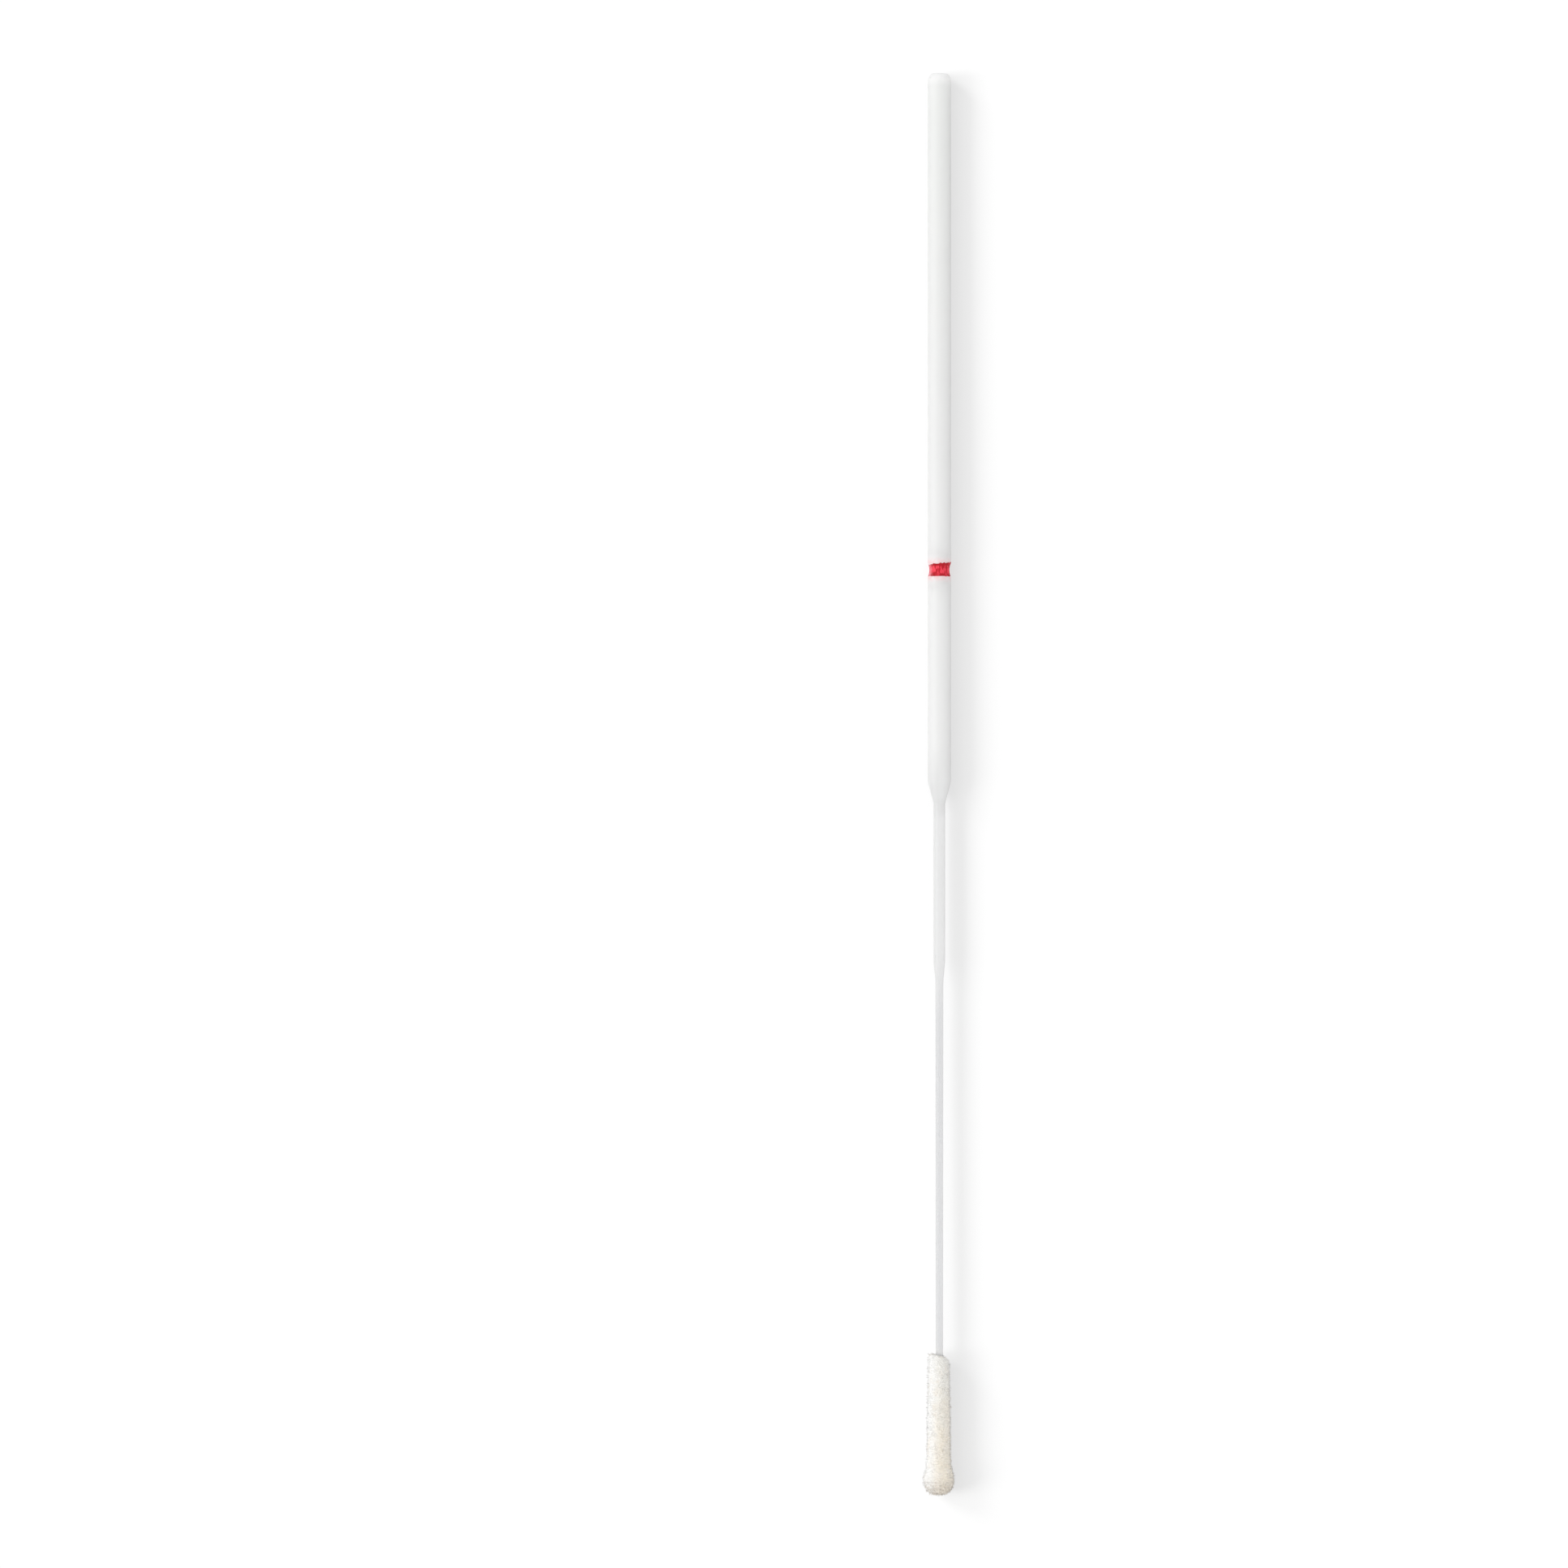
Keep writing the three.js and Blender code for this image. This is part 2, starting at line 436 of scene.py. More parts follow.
def stretched(tree, place, scale):
    """The place with each of its three directions scaled."""
    made = tree.nodes.new("ShaderNodeVectorMath")
    made.operation = "MULTIPLY"
    plug(tree, made.inputs[0], place)
    made.inputs[1].default_value = scale
    return made.outputs[0]


def in_range(tree, value, low, high, to_low=0.0, to_high=1.0):
    """The value moved smoothly from one range into another, and kept inside it."""
    made = tree.nodes.new("ShaderNodeMapRange")
    made.interpolation_type = "SMOOTHSTEP"
    plug(tree, made.inputs["Value"], value)
    made.inputs["From Min"].default_value = low
    made.inputs["From Max"].default_value = high
    made.inputs["To Min"].default_value = to_low
    made.inputs["To Max"].default_value = to_high
    return made.outputs["Result"]


def calculated(tree, operation, first, second=0.0):
    """The result of a Math node."""
    made = tree.nodes.new("ShaderNodeMath")
    made.operation = operation
    plug(tree, made.inputs[0], first)
    plug(tree, made.inputs[1], second)
    return made.outputs[0]


def mixed(tree, share, first, second):
    """A colour between two others."""
    made = tree.nodes.new("ShaderNodeMix")
    made.data_type = "RGBA"
    plug(tree, made.inputs[0], share)
    plug(tree, made.inputs[6], first)
    plug(tree, made.inputs[7], second)
    return made.outputs[2]


def attribute(tree, name):
    """A number that the mesh holds for each of its corners."""
    made = tree.nodes.new("ShaderNodeAttribute")
    made.attribute_name = name
    return made.outputs["Fac"]


def coordinate(tree, place, axis):
    """One coordinate of the place. Y runs along the swab, and X runs across it."""
    made = tree.nodes.new("ShaderNodeSeparateXYZ")
    plug(tree, made.inputs[0], place)
    return made.outputs[axis]


def add_bump(tree, shader, height, distance):
    """Roughens the surface by a pattern, whose full height is the given distance."""
    made = tree.nodes.new("ShaderNodeBump")
    made.inputs["Distance"].default_value = distance
    made.inputs["Strength"].default_value = 1.0
    plug(tree, made.inputs["Height"], height)
    tree.links.new(made.outputs["Normal"], shader.inputs["Normal"])


def away_from(tree, along, place):
    """How far a place along the swab is from another, to either side."""
    return calculated(tree, "ABSOLUTE", calculated(tree, "SUBTRACT", along, place))


def from_tip(fade):
    """The Y of both ends of a fade that is given from the tip's blunt end."""
    return tuple(TIP.y + place for place in fade)


def break_middle():
    """The Y of the break groove's middle."""
    low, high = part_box("break_mark")
    return (low[1] + high[1]) / 2


def handle_colour(tree, place, along):
    """Cloudy white with a greenish tinge towards the handle's end, and painted light that makes that end
    paler.
    """
    clouds = noise(tree, place, 5 * MM, 3)
    colour = mixed(tree, clouds, *CLOUD_GREYS)
    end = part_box("shaft")[1][1]
    tinge = in_range(tree, along, end - HANDLE_TINGE_LENGTH, end, 0, HANDLE_TINGE_SHARE)
    colour = mixed(tree, tinge, colour, HANDLE_TINGE)
    # Painted light: the handle's end is paler
    pale = in_range(tree, along, end + HANDLE_END_LIGHT_FADE[0], end + HANDLE_END_LIGHT_FADE[1])
    return mixed(tree, pale, colour, HANDLE_END_PAINTED_LIGHT)


def slim_colour(tree, place, along, colour):
    """Another colour, made greyer along the stem and the neck with painted light towards +X on each,
    painted shade at the shoulder's foot and painted light at the neck's foot.
    """
    across = coordinate(tree, place, "X")
    # Painted light: the stem is lighter towards +X
    stem = mixed(tree, in_range(tree, across, *STEM_LIGHT_SIDES), *STEM_GREYS_PAINTED_LIGHT)
    colour = mixed(tree, in_range(tree, along, *from_tip(STEM_FADE), 1, 0), colour, stem)
    # Painted shade around the shoulder's foot
    below_shoulder = away_from(tree, along, TIP.y + SHOULDER_FOOT)
    shoulder_shade = in_range(tree, below_shoulder, *SHOULDER_SHADE_FADE, SHOULDER_SHADE_SHARE, 0)
    colour = mixed(tree, shoulder_shade, colour, SHOULDER_PAINTED_SHADE)
    # Painted light: the neck is lighter towards +X
    neck = mixed(tree, in_range(tree, across, *NECK_LIGHT_SIDES), *NECK_GREYS_PAINTED_LIGHT)
    colour = mixed(tree, in_range(tree, along, *from_tip(NECK_FADE), 1, 0), colour, neck)
    # Painted light at the neck's foot, which lifts the shade there
    foot = in_range(tree, along, *from_tip(NECK_FOOT_LIGHT_FADE), 1, 0)
    return mixed(tree, foot, colour, NECK_FOOT_PAINTED_LIGHT)


def smeared_colour(tree, place, from_break, colour):
    """Another colour, made paler beside the break groove, with pink painted light from the ink's red
    close to it.
    """
    beside = in_range(tree, from_break, *BREAK_FADE, 1, 0)
    colour = mixed(tree, beside, colour, BREAK_GREY)
    # Painted light: a pink tint in patches close to the ink
    near = in_range(tree, from_break, *INK_LIGHT_FADE, 1, 0)
    patches = in_range(tree, noise(tree, place, 0.4 * MM), 0.3, 0.6, 0.3, 1)
    ink_light = calculated(tree, "MULTIPLY", near, patches)
    return mixed(tree, calculated(tree, "MULTIPLY", ink_light, INK_LIGHT_SHARE), colour, INK_LIGHT_PAINTED_PINK)


def plastic_material():
    """Satin white plastic, a little translucent away from the ink, with flow lines along the swab."""
    material, tree, shader = new_material("moulded_plastic", 0.42, 0.25)
    place = object_place(tree)
    along = coordinate(tree, place, "Y")
    from_break = away_from(tree, along, break_middle())
    colour = handle_colour(tree, place, along)
    colour = slim_colour(tree, place, along, colour)
    colour = smeared_colour(tree, place, from_break, colour)
    tree.links.new(colour, shader.inputs["Base Color"])
    grain = noise(tree, place, 0.09 * MM, 3)
    tree.links.new(in_range(tree, grain, 0.3, 0.7, 0.36, 0.5), shader.inputs["Roughness"])
    flow = noise(tree, stretched(tree, place, (1, 0.15, 1)), 0.8 * MM, 3)
    relief = calculated(tree, "ADD", calculated(tree, "MULTIPLY", flow, 3.0), grain)
    add_bump(tree, shader, relief, 0.004 * MM)
    tree.links.new(in_range(tree, from_break, *BREAK_FADE), shader.inputs["Subsurface Weight"])
    shader.inputs["Subsurface Radius"].default_value = (1.0, 1.0, 1.0)
    shader.inputs["Subsurface Scale"].default_value = 8 * MM
    shader.inputs["Subsurface Anisotropy"].default_value = 0.8
    return material


def ink_material():
    """Red ink in streaks along the swab, darker towards its edges, with a painted highlight on its -X
    side.
    """
    material, tree, shader = new_material("break_ink", 0.5, 0.2)
    place = object_place(tree)
    streaks = noise(tree, stretched(tree, place, INK_STREAK_STRETCH), 0.27 * MM, 2)
    colour = mixed(tree, in_range(tree, streaks, 0.45, 0.56), INK_RED, INK_STREAK_RED)
    from_break = away_from(tree, coordinate(tree, place, "Y"), break_middle())
    # Darker towards both edges, in patches
    edge_patches = in_range(tree, noise(tree, place, 0.5 * MM), 0.35, 0.6, 0.35, 0.95)
    edge = calculated(tree, "MULTIPLY", in_range(tree, from_break, *INK_EDGE_FADE), edge_patches)
    colour = mixed(tree, edge, colour, INK_EDGE_RED)
    # Painted highlight in blotches on the -X side, which faces the lamp
    lit_side = in_range(tree, coordinate(tree, place, "X"), *INK_HIGHLIGHT_SIDES, 1, 0)
    blotches = in_range(tree, noise(tree, place, 0.3 * MM, 3), 0.35, 0.6, 0.25, 0.8)
    colour = mixed(tree, calculated(tree, "MULTIPLY", lit_side, blotches), colour, INK_PAINTED_HIGHLIGHT)
    tree.links.new(colour, shader.inputs["Base Color"])
    grain = noise(tree, place, 0.08 * MM, 3)
    tree.links.new(in_range(tree, grain, 0.3, 0.7, 0.42, 0.6), shader.inputs["Roughness"])
    add_bump(tree, shader, grain, 0.008 * MM)
    return material


def flock_colour(tree, place, pale, warm):
    """Pale at the flock's top and warm towards the bulb, with peach places, painted light on the -X side,
    painted shade on the +X side, and painted shade between tufts at the blunt end.
    """
    along = coordinate(tree, place, "Y")
    across = coordinate(tree, place, "X")
    low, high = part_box("flocked_tip")
    patches = in_range(tree, noise(tree, place, 1.6 * MM, 3), 0.3, 0.7, -2 * MM, 2 * MM)
    moved = calculated(tree, "ADD", along, patches)
    colour = mixed(tree, in_range(tree, moved, low[1] + 2 * MM, high[1] - 1 * MM), warm, pale)
    # Painted light on the -X side
    white = in_range(tree, across, *FLOCK_LIGHT_SIDES, FLOCK_LIGHT_SHARE, 0)
    colour = mixed(tree, white, colour, FLOCK_PAINTED_LIGHT)
    bands = noise(tree, stretched(tree, place, (0.3, 1, 0.3)), 0.2 * MM)
    dashes = in_range(tree, bands, 0.4, 0.6, 0.3, 1)
    # Painted shade on the +X side, in streaks along the swab
    shaded = in_range(tree, across, *FLOCK_SHADE_SIDES, 0, FLOCK_SHADE_SHARE)
    colour = mixed(tree, calculated(tree, "MULTIPLY", shaded, dashes), colour, FLOCK_PAINTED_SHADE)
    peach = in_range(tree, noise(tree, place, 0.9 * MM, 3), 0.5, 0.68, 0, FLOCK_PEACH_SHARE)
    colour = mixed(tree, peach, colour, FLOCK_PEACH)
    # Painted shade between the tufts towards the blunt end
    tufts = in_range(tree, noise(tree, place, 0.25 * MM, 1), 0.42, 0.56, 0.3, 1)
    end_shade_fade = (low[1] + reach for reach in FLOCK_END_SHADE_FADE)
    end = in_range(tree, along, *end_shade_fade, FLOCK_END_SHADE_SHARE, 0)
    return mixed(tree, calculated(tree, "MULTIPLY", end, tufts), colour, FLOCK_END_PAINTED_SHADE)


def fibre_material():
    """Fine fibres, near white at their tips and creamier at their roots, each of its own tone. The tips'
    whiter colour is a painted sheen.
    """
    material, tree, shader = new_material("flock_fibre", 0.6, 0.25)
    place = object_place(tree)
    tips = flock_colour(tree, place, *FIBRE_TIP_SHEEN_CREAMS)
    roots = flock_colour(tree, place, *FIBRE_ROOT_CREAMS)
    # Painted sheen: the tips are whiter than the roots
    colour = mixed(tree, in_range(tree, attribute(tree, "height"), 0.35, 1.0), roots, tips)
    tone = in_range(tree, attribute(tree, "tone"), 0, 1, 0, FIBRE_TONE_SHARE)
    colour = mixed(tree, tone, colour, FIBRE_TONE_CREAM)
    tree.links.new(colour, shader.inputs["Base Color"])
    shader.inputs["Subsurface Weight"].default_value = 0.35
    shader.inputs["Subsurface Radius"].default_value = (1.0, 1.0, 1.0)
    shader.inputs["Subsurface Scale"].default_value = 0.06 * MM
    return material


def flock_body_material():
    """The matted flock between the fibres."""
    material, tree, shader = new_material("flock_body", 0.9, 0.2)
    place = object_place(tree)
    tree.links.new(flock_colour(tree, place, *BODY_CREAMS), shader.inputs["Base Color"])
    add_bump(tree, shader, noise(tree, place, 0.06 * MM, 3), 0.03 * MM)
    return material


# ---- Shaft ----

def shaft_angles():
    """Even angles around the shaft, with three across each parting line."""
    even = np.arange(SHAFT_SEGMENTS) * 2 * math.pi / SHAFT_SEGMENTS
    lines = [a + turn for a in PARTING_ANGLES for turn in (-PARTING_HALF_TURN, 0, PARTING_HALF_TURN)]
    clear = [a for a in even if min(abs(a - line) for line in lines) > PARTING_HALF_TURN / 2]
    return np.array(sorted([*clear, *lines]))


def parting_rise(angles):
    """How far the parting lines stand out, as a share of their full height."""
    apart = [np.abs(angles - line) for line in PARTING_ANGLES]
    return np.clip(1 - np.minimum(*apart) / PARTING_HALF_TURN, 0, 1)


def add_shaft(material):
    """The moulded shaft, with two parting lines outside the flock and a gate mark in the handle's end."""
    angles = shaft_angles()
    place = SHAFT_OUTLINE[:, :1] + 0 * angles
    radius = SHAFT_OUTLINE[:, 1:] + 0 * angles
    shown = smooth_step(place, FLOCK["top"], FLOCK["top"] + MM) * (radius > GATE_RADIUS)
    radius = radius + shown * parting_rise(angles) * PARTING_HEIGHT
    pit = smooth_step(radius, GATE_RADIUS, GATE_FLOOR_RADIUS) * (place > place[-1, 0] - MM)
    points = on_swab(place - pit * GATE_DEPTH, radius, angles)
    mesh = closed_mesh("moulded_shaft", points[1:-1], points[0, 0], points[-1, 0])
    add_piece(mesh, "shaft", material)


# ---- Ink ----

def ragged(rng, angles, teeth, radius):
    """How far an edge of the ink wanders around the shaft."""
    around = 2 * math.pi * radius
    fine = ring_noise(rng, round(around / TOOTH_PITCH), angles)
    slow = ring_noise(rng, round(around / WAVE_PITCH), angles)
    return teeth * ((1 - WAVE_SHARE) * fine + WAVE_SHARE * slow)


def add_ink(rng, material):
    """A thin closed shell of ink along the groove's bottom, with ragged edges, the upper one slanted."""
    corners = corners_of("break_mark")
    low, high = corners[0, 0], corners[-1, 0]
    angles = np.arange(INK_SEGMENTS) * 2 * math.pi / INK_SEGMENTS
    lower = low + ragged(rng, angles, INK_LOWER_TEETH, corners[0, 1])
    upper = high + ragged(rng, angles, INK_UPPER_TEETH, corners[0, 1]) + INK_SLANT * np.cos(angles)
    share = np.linspace(0, 1, INK_ROWS)[:, None]
    place = lower + (upper - lower) * share
    inside = shaft_radius(place) + INK_CLEARANCE
    lower_rim = smooth_step(share, *INK_RIM)
    upper_rim = smooth_step(share, 1 - INK_RIM[0], 1 - INK_RIM[1])
    outside = inside + INK_THICKNESS * (lower_rim * upper_rim)
    places = np.vstack([place, place[::-1]])
    radii = np.vstack([outside, inside[::-1]])
    points = on_swab(places, radii, angles).reshape(-1, 3)
    triangles = side_triangles(2 * INK_ROWS, INK_SEGMENTS, joined=True)
    add_piece(mesh_of("ink_ring", points, triangles), "break_mark", material)


# ---- Flock ----

def flock_top():
    """The place of the flock's top, halfway up its slant, which is where the shaft is thinnest."""
    corners = corners_of("shaft")
    side = corners[(corners[:, 0] > corners[0, 0] + SAME_RING) & (corners[:, 1] > 0)]
    return side[np.argmin(side[:, 1]), 0]


def flock_lines():
    """The core's outline under the flock, and the pile's surface over it, point by point.

    The distance is measured along that surface, from the middle of the blunt end.
    """
    corners = corners_of("shaft")
    top = flock_top()
    bulb = max(corners[corners[:, 0] < top], key=lambda corner: corner[1])
    flat = corners[corners[:, 0] < corners[0, 0] + SAME_RING][:, 1].max()
    pile = corners_of("flocked_tip")[:, 1].max() - bulb[1]
    edge = top - TOP_ROUNDING
    core = np.vstack([SHAFT_OUTLINE[SHAFT_OUTLINE[:, 0] < edge], (edge, shaft_radius(edge))])
    core = cut_fine(core, BODY_STEP)
    sunk = np.clip((bulb[0] - core[:, 0]) / (bulb[0] - corners[0, 0]), 0, 1)
    wide = np.clip((core[:, 1] - flat) / (bulb[1] - flat), 0, 1)
    direction = np.stack([-sunk, np.where(core[:, 0] < bulb[0], wide, 1)], axis=1)
    direction /= np.linalg.norm(direction, axis=1)[:, None]
    surface = core + direction * pile
    turn = np.linspace(0, math.pi / 2, TOP_STEPS + 1)[1:]
    dome_place = (TOP_ROUNDING + TOP_DOME) * np.sin(turn) ** (2 / TOP_SQUARENESS)
    dome_radius = (surface[-1, 1] - core[-1, 1] - BORE_GAP) * np.cos(turn) ** (2 / TOP_SQUARENESS)
    dome = core[-1] + np.stack([dome_place, dome_radius + BORE_GAP], axis=1)
    core = np.vstack([core, np.repeat(core[-1:], TOP_STEPS, axis=0)])
    surface = np.vstack([surface, dome])
    distance = np.concatenate([[0], np.cumsum(np.linalg.norm(np.diff(surface, axis=0), axis=1))])
    return {"core": core, "surface": surface, "distance": distance, "top": top}


FLOCK = flock_lines()


def in_flock(distance, angle, depth, from_core=False):
    """Points at depths below the pile's surface, or at heights above the core if asked."""
    lines = [*FLOCK["core"].T, *FLOCK["surface"].T]
    core_place, core_radius, top_place, top_radius = (
        np.interp(distance, FLOCK["distance"], line) for line in lines
    )
    length = np.hypot(top_place - core_place, top_radius - core_radius)
    share = depth / length if from_core else 1 - depth / length
    share = np.clip(share, 0, None)
    place = core_place + (top_place - core_place) * share
    radius = np.maximum(core_radius + (top_radius - core_radius) * share, 0)
    side = np.cos(angle)
    curl = TOP_CURL * smooth_step(radius, TOP_CURL_FROM, TOP_CURL_TO) * np.maximum(side, 0)
    near_top = smooth_step(place, FLOCK["top"] - SLANTED_STRETCH, FLOCK["top"])
    points = on_swab(place - (TOP_SLOPE * radius * side + curl) * near_top, radius, angle)
    return points - np.multiply.outer(share, np.array(ACROSS)) * FLOCK_SHIFT


def flock_radius(distance):
    """The radius of the pile's surface at distances along it."""
    return np.interp(distance, FLOCK["distance"], FLOCK["surface"][:, 1])


def cell_noise(values, distance, angle, cell):
    """Smooth random values over the flock, from a table that wraps around the flock's angle."""
    rows, columns = values.shape
    # Stops just before the last row, so that another row always follows
    row = np.clip(distance / cell, 0, rows - 1.001)
    column = np.mod(angle / (2 * math.pi), 1) * columns
    row_before, column_before = np.floor(row).astype(int), np.floor(column).astype(int) % columns
    down, over = smooth_step(row % 1, 0, 1), smooth_step(column % 1, 0, 1)
    after = (column_before + 1) % columns
    first = values[row_before, column_before] * (1 - over) + values[row_before, after] * over
    second = values[row_before + 1, column_before] * (1 - over) + values[row_before + 1, after] * over
    return first * (1 - down) + second * down


def ridge_tables(rng):
    """Random tables of how far the ridges wander along the swab, in pitches, and how high they are."""
    rows = math.ceil(FLOCK["distance"][-1] / RIDGE_CELL) + 2
    columns = round(2 * math.pi * FLOCK["surface"][:, 1].max() / RIDGE_CELL)
    wander = rng.uniform(-RIDGE_WANDER, RIDGE_WANDER, (rows, columns))
    strength = rng.uniform(RIDGE_LEAST, 1, (rows, columns))
    return wander, strength


def ridge_phase(ridges, distance, angle):
    """How far a point is from the nearest ridge, from -0.5 to 0.5 of the pitch."""
    turns = distance / RIDGE_PITCH + cell_noise(ridges[0], distance, angle, RIDGE_CELL)
    return turns - np.round(turns)


def ridge_fall(ridges, distance, angle, phase):
    """How far the surface lies below the highest ridges' tops."""
    strength = cell_noise(ridges[1], distance, angle, RIDGE_CELL)
    return RIDGE_HEIGHT * (1 - strength * np.cos(math.pi * phase) ** 2)


def scattered(rng, pitch):
    """Distances and angles of points spread evenly over the flock and then shaken."""
    total = FLOCK["distance"][-1]
    rows = round(total / pitch)
    distances, angles = [], []
    for row in range(rows):
        middle = (row + 0.5) * total / rows
        count = max(3, round(2 * math.pi * flock_radius(middle) / pitch))
        turn = np.arange(count) + rng.uniform(-0.5, 0.5, count) + rng.random()
        distances.append(middle + rng.uniform(-0.5, 0.5, count) * pitch)
        angles.append(turn * 2 * math.pi / count)
    return np.concatenate(distances), np.concatenate(angles)


def unit(vectors):
    """The same directions with lengths of one."""
    return vectors / np.linalg.norm(vectors, axis=-1, keepdims=True)


def bent(rng, start, end):
    """The centres of the fibres' rings, from their starts over slightly shifted middles to their ends."""
    middle = (start + end) / 2 + rng.normal(0, FIBRE_BEND, start.shape)
    return np.stack([start, middle, end], axis=1)


def pile_lines(rng, ridges):
    """Fibres that stand on the shaft's core and lean towards the nearest ridge."""
    distance, angle = scattered(rng, FIBRE_PITCH)
    phase = ridge_phase(ridges, distance, angle)
    tip_distance = np.clip(distance - phase * RIDGE_PULL * RIDGE_PITCH, 0, FLOCK["distance"][-1])
    fall = ridge_fall(ridges, distance, angle, phase * (1 - RIDGE_PULL))
    start = in_flock(distance, angle, FIBRE_ROOT_DEPTH)
    end = in_flock(tip_distance, angle, fall + rng.random(len(distance)) * FIBRE_TIP_SPREAD)
    return bent(rng, start, end + rng.normal(0, FIBRE_LEAN, end.shape))


def spike_lines(rng):
    """Fibres that stick together in spikes above the others, at the blunt end and along both sides."""
    distance, angle = scattered(rng, SPIKE_PITCH)
    spiked = (distance < SPIKED_END) | (np.abs(np.cos(angle)) > SPIKED_SIDE)
    distance, angle = distance[spiked], angle[spiked]
    root = in_flock(distance, angle, FIBRE_ROOT_DEPTH)
    tip = in_flock(distance, angle, -rng.uniform(*SPIKE_HEIGHT, len(distance)))
    tip += rng.normal(0, SPIKE_LEAN, tip.shape)
    shape = (len(distance), SPIKE_FIBRES, 3)
    start = root[:, None] + rng.normal(0, SPIKE_SPREAD, shape)
    end = tip[:, None] + rng.normal(0, SPIKE_SPREAD, shape)
    return bent(rng, start.reshape(-1, 3), end.reshape(-1, 3))


def fibre_points(lines):
    """Rings of corners around the fibres' lines."""
    run = unit(lines[:, -1] - lines[:, 0])
    first = unit(np.cross(run, np.array(OFF_FIBRES)))
    second = np.cross(run, first)
    turn = np.arange(FIBRE_SIDES) * 2 * math.pi / FIBRE_SIDES
    ring = np.cos(turn)[:, None] * first[:, None] - np.sin(turn)[:, None] * second[:, None]
    size = FIBRE_RADIUS * np.linspace(1, FIBRE_TAPER, FIBRE_RINGS)[:, None, None]
    points = lines[:, :, None] + ring[:, None] * size
    points[..., 2] = np.maximum(points[..., 2], FLOOR_CLEARANCE)
    return points.reshape(-1, 3)


def fibre_triangles(count):
    """Sides and both ends of each fibre."""
    corners = FIBRE_RINGS * FIBRE_SIDES
    sides = side_triangles(FIBRE_RINGS, FIBRE_SIDES)
    ends = np.array([[0, 1, 2], [corners - 1, corners - 2, corners - 3]])
    one = np.vstack([sides, ends])
    return (one + np.arange(count)[:, None, None] * corners).reshape(-1, 3)


def add_number(mesh, name, values):
    """Gives each corner of a mesh a named number."""
    made = mesh.attributes.new(name, "FLOAT", "POINT")
    made.data.foreach_set("value", np.asarray(values, np.float32).ravel())


def add_fibres(rng, ridges, material):
    """All fibres, shared out over pieces from the bulb to the flock's top."""
    lines = np.concatenate([pile_lines(rng, ridges), spike_lines(rng)])
    lines = lines[np.argsort(lines[:, 0] @ np.array(ALONG))]
    tone = rng.random(len(lines))
    shares = np.array_split(np.arange(len(lines)), len(FIBRE_PIECES))
    for name, share in zip(FIBRE_PIECES, shares):
        mesh = mesh_of(name, fibre_points(lines[share]), fibre_triangles(len(share)))
        height = np.repeat(np.linspace(0, 1, FIBRE_RINGS), FIBRE_SIDES)
        add_number(mesh, "height", np.tile(height, len(share)))
        add_number(mesh, "tone", np.repeat(tone[share], FIBRE_RINGS * FIBRE_SIDES))
        add_piece(mesh, "flocked_tip", material)


def add_flock_body(rng, ridges, material):
    """A ridged sleeve that fills the space between the fibres, with a bore for the shaft's core."""
    angles = np.arange(BODY_SEGMENTS) * 2 * math.pi / BODY_SEGMENTS
    distance = FLOCK["distance"][:, None]
    lumps = surface_noise(rng, (len(distance), BODY_SEGMENTS), BODY_LUMP_PASSES) * BODY_LUMP
    fall = ridge_fall(ridges, distance, angles, ridge_phase(ridges, distance, angles))
    outside = in_flock(distance, angles, BODY_RECESS + fall + lumps)
    inward = np.linspace(distance[-1], 0, BORE_RINGS)
    bore = in_flock(inward, angles, BORE_GAP, from_core=True)
    rings = np.concatenate([outside[1:], bore[:-1]])
    mesh = closed_mesh("flock_body", rings, outside[0].mean(axis=0), bore[-1].mean(axis=0))
    add_piece(mesh, "flocked_tip", material)


# ---- Camera, light and floor ----

def shows_background(tree):
    """One for rays that show the background to the camera, and nought for rays that light the object."""
    rays = tree.nodes.new("ShaderNodeLightPath").outputs
    seen = calculated(tree, "MAXIMUM", rays["Is Camera Ray"], rays["Is Glossy Ray"])
    return calculated(tree, "MAXIMUM", seen, rays["Is Transmission Ray"])


def add_world():
    """Even white light from all around, and a pure white background for the camera."""
    world = bpy.data.worlds.new("studio")
    bpy.context.scene.world = world
    world.use_nodes = True
    tree = world.node_tree
    strength = in_range(tree, shows_background(tree), 0, 1, WORLD_LIGHT, 1)
    tree.links.new(strength, tree.nodes["Background"].inputs["Strength"])
    tree.nodes["Background"].inputs["Color"].default_value = (1, 1, 1, 1)


def add_lamp(name, level, elevation, spread, turn=0):
    """A broad soft light from about the left, which gives a level patch of floor the named light."""
    lamp = bpy.data.lights.new(name, "SUN")
    lamp.angle = spread
    lamp.energy = level * math.pi / math.sin(elevation)
    holder = bpy.data.objects.new(name, lamp)
    holder.rotation_euler = (0, elevation - math.pi / 2, -turn)
    bpy.context.scene.collection.objects.link(holder)
    return holder


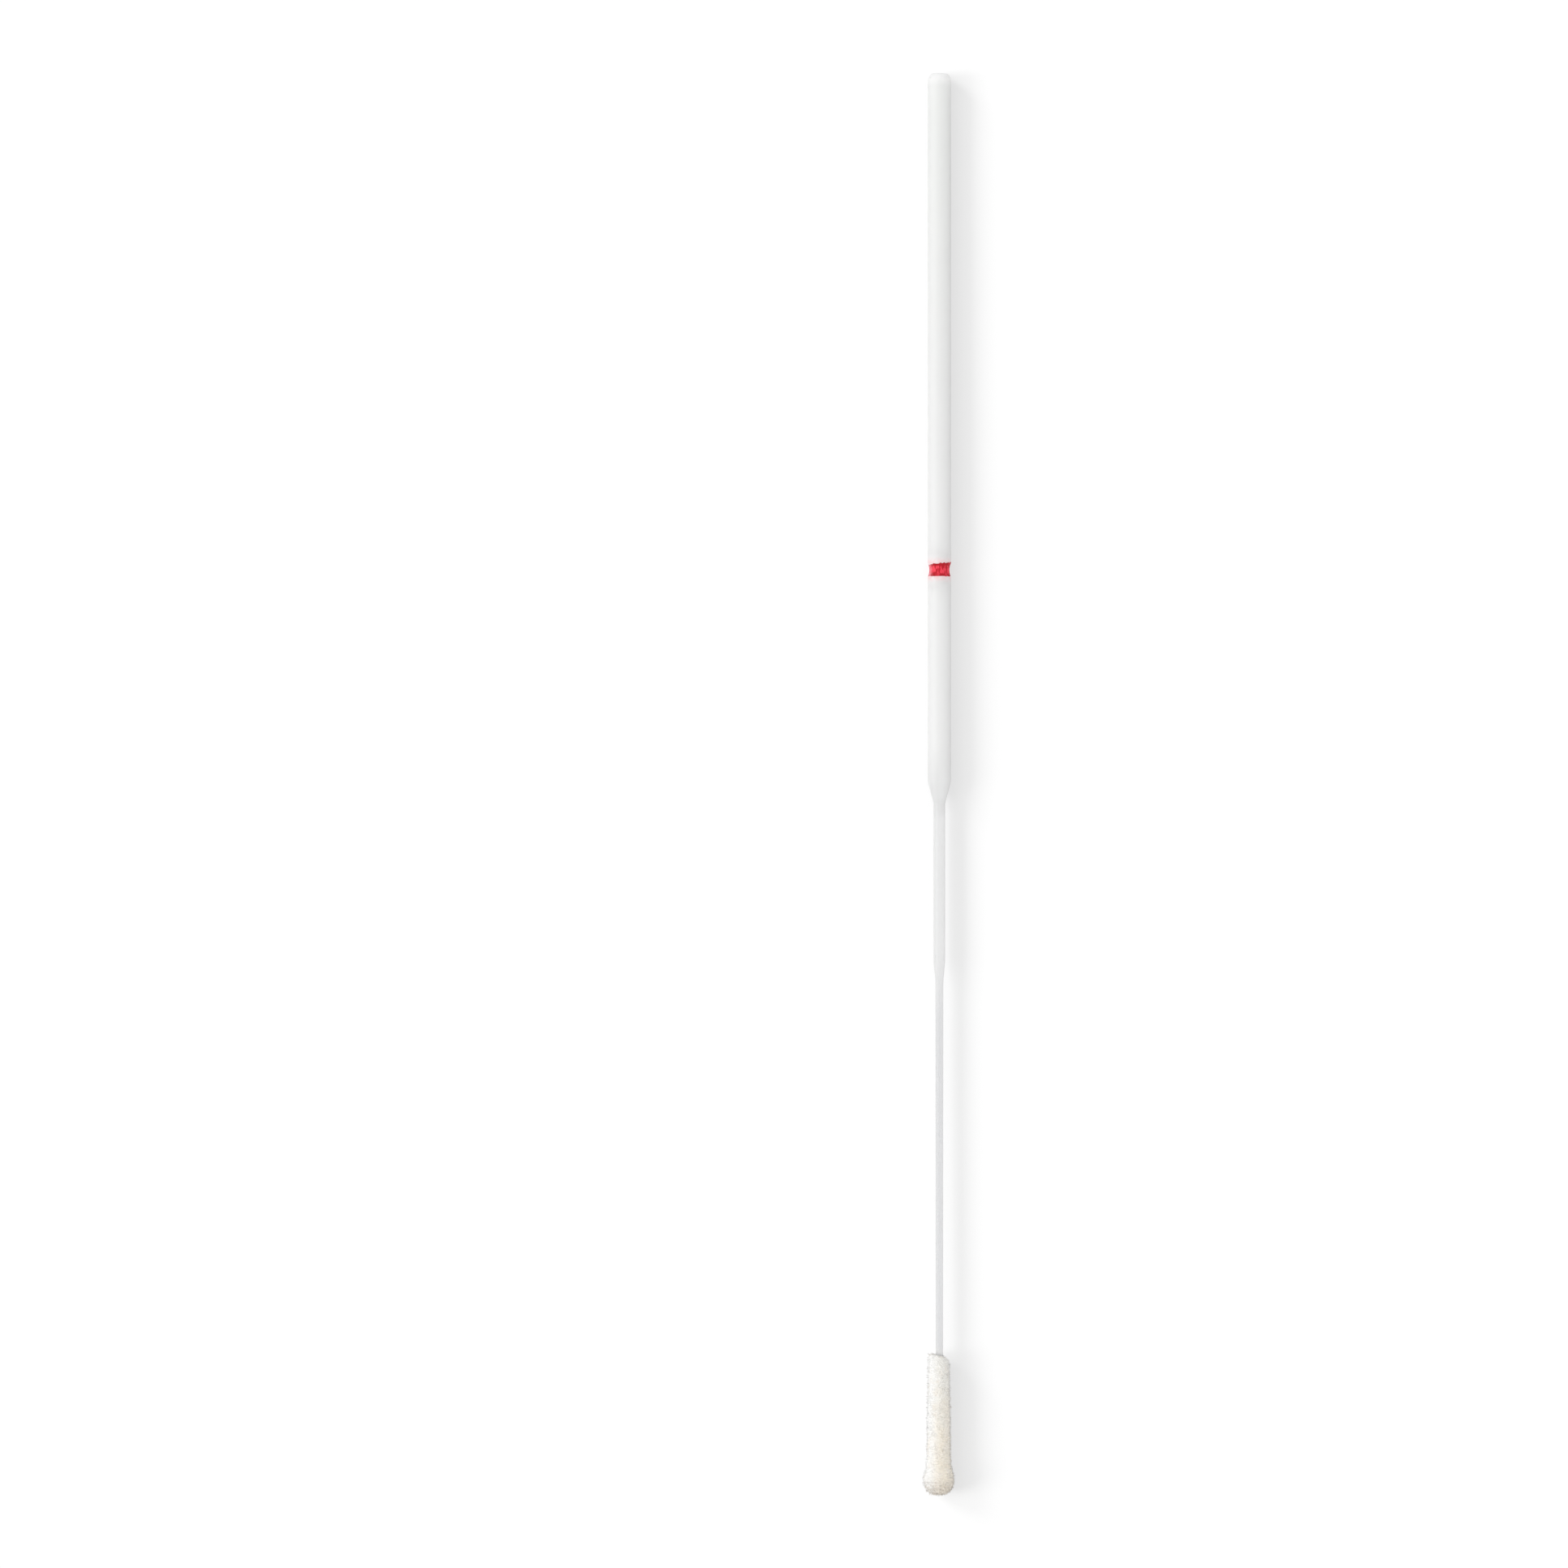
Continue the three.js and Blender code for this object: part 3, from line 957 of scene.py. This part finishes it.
def add_floor():
    """A white floor, seen mostly by its own glow, so that the shadows on it stay pale."""
    half = FLOOR_SIDE / 2
    corners = [(-half, -half, 0), (half, -half, 0), (half, half, 0), (-half, half, 0)]
    mesh = bpy.data.meshes.new("floor")
    mesh.from_pydata(corners, [], [(0, 1, 2, 3)])
    material, tree, shader = new_material("floor", 1.0, 0.0)
    seen = shows_background(tree)
    grey = in_range(tree, seen, 0, 1, FLOOR_GREY, FLOOR_GREY_SEEN)
    tree.links.new(grey, shader.inputs["Base Color"])
    glow = calculated(tree, "MULTIPLY", seen, FLOOR_GLOW_SEEN)
    tree.links.new(glow, shader.inputs["Emission Strength"])
    shader.inputs["Emission Color"].default_value = (1, 1, 1, 1)
    mesh.materials.append(material)
    floor = bpy.data.objects.new("floor", mesh)
    bpy.context.scene.collection.objects.link(floor)
    return floor


def add_lights(floor):
    """One weak lamp for everything, and others for the floor alone, which give it the swab's shadow."""
    add_lamp("key", KEY_LIGHT, KEY_ELEVATION, KEY_SPREAD)
    lit = bpy.data.collections.new("lit_floor")
    lit.objects.link(floor)
    for number, values in enumerate(SHADOW_LAMPS, start=1):
        lamp = add_lamp(f"shadow_{number}", *values)
        lamp.light_linking.receiver_collection = lit


def add_camera():
    """A long lens straight above, with the swab right of the middle and the handle's end at the top."""
    data = bpy.data.cameras.new("camera")
    data.lens = CAMERA_LENS
    data.sensor_width = SENSOR
    camera = bpy.data.objects.new("camera", data)
    middle_y = (cad_box[0].y + cad_box[1].y) / 2
    middle_z = cad_box[1].z / 2
    camera.location = (CAMERA_X, middle_y, middle_z + VIEW_SIDE * CAMERA_LENS / SENSOR)
    bpy.context.scene.collection.objects.link(camera)
    bpy.context.scene.camera = camera


bpy.context.scene.view_settings.view_transform = "Standard"
random_source = np.random.default_rng(SEED)
add_camera()
add_world()
add_lights(add_floor())
add_shaft(plastic_material())
add_ink(random_source, ink_material())
flock_ridges = ridge_tables(random_source)
add_flock_body(random_source, flock_ridges, flock_body_material())
add_fibres(random_source, flock_ridges, fibre_material())
